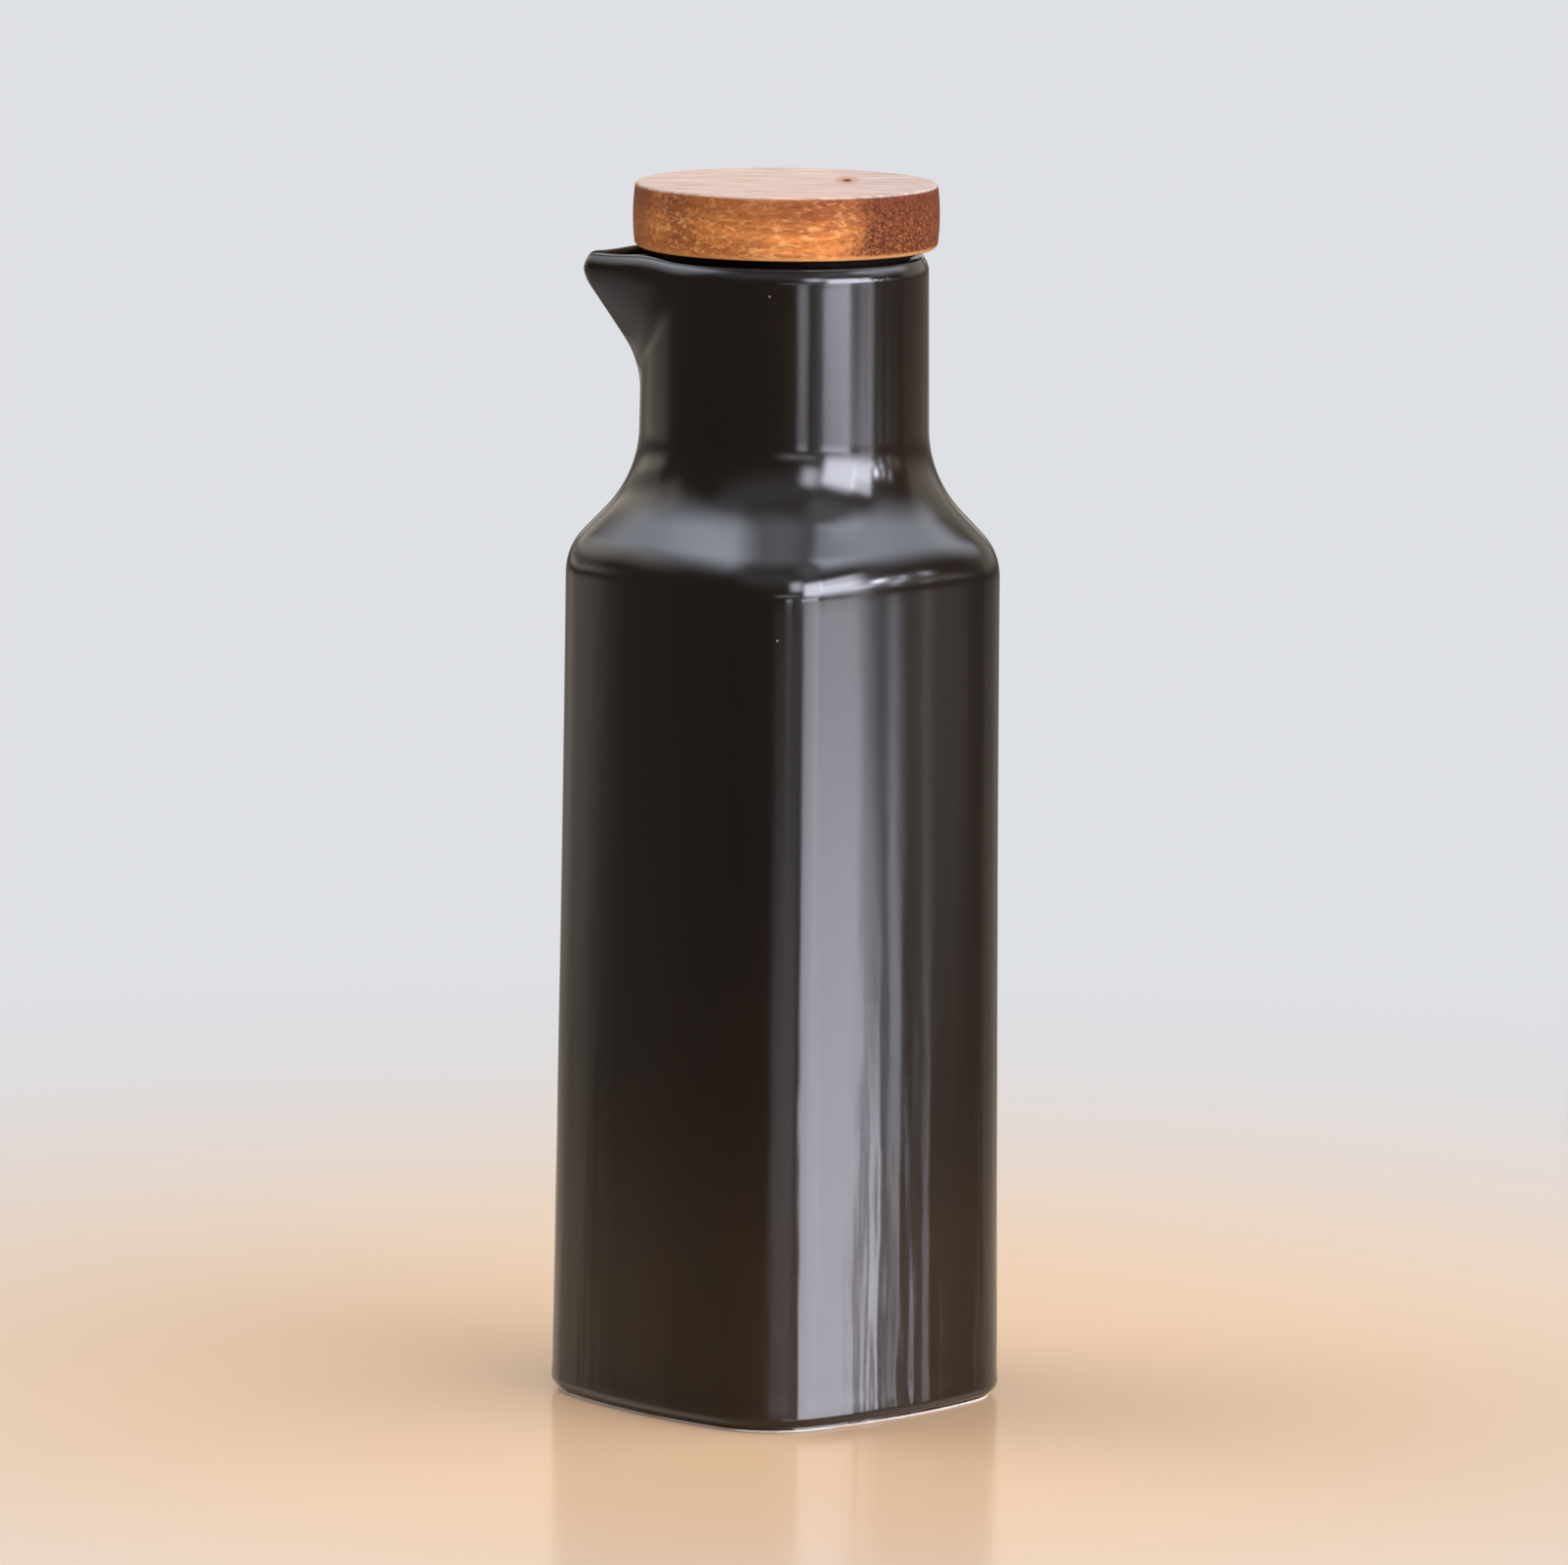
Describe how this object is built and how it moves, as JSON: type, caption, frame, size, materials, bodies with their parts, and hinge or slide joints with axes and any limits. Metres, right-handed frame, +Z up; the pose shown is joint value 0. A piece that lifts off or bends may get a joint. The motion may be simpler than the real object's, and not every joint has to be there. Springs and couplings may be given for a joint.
{
  "type": "oil dispenser",
  "caption": "Square ceramic kitchen oil dispenser with rounded corners, a round neck, a pinched pouring spout over a corner and a flat round wooden lid.",
  "frame": {"origin": "on the table, under the middle of the bottle's base", "axes": "+Z up along the bottle's axis; the four flat sides face along X and Y; the spout stands over the corner towards -X and -Y"},
  "size_m": [0.0706, 0.0706, 0.2207],
  "materials": {
    "black_glaze": "satin black glaze, bare pale clay under the foot",
    "lid_wood": "oiled reddish brown hardwood"
  },
  "bodies": {
    "root": {"bottle": "black_glaze", "lid": "lid_wood"}
  },
  "joints": []
}
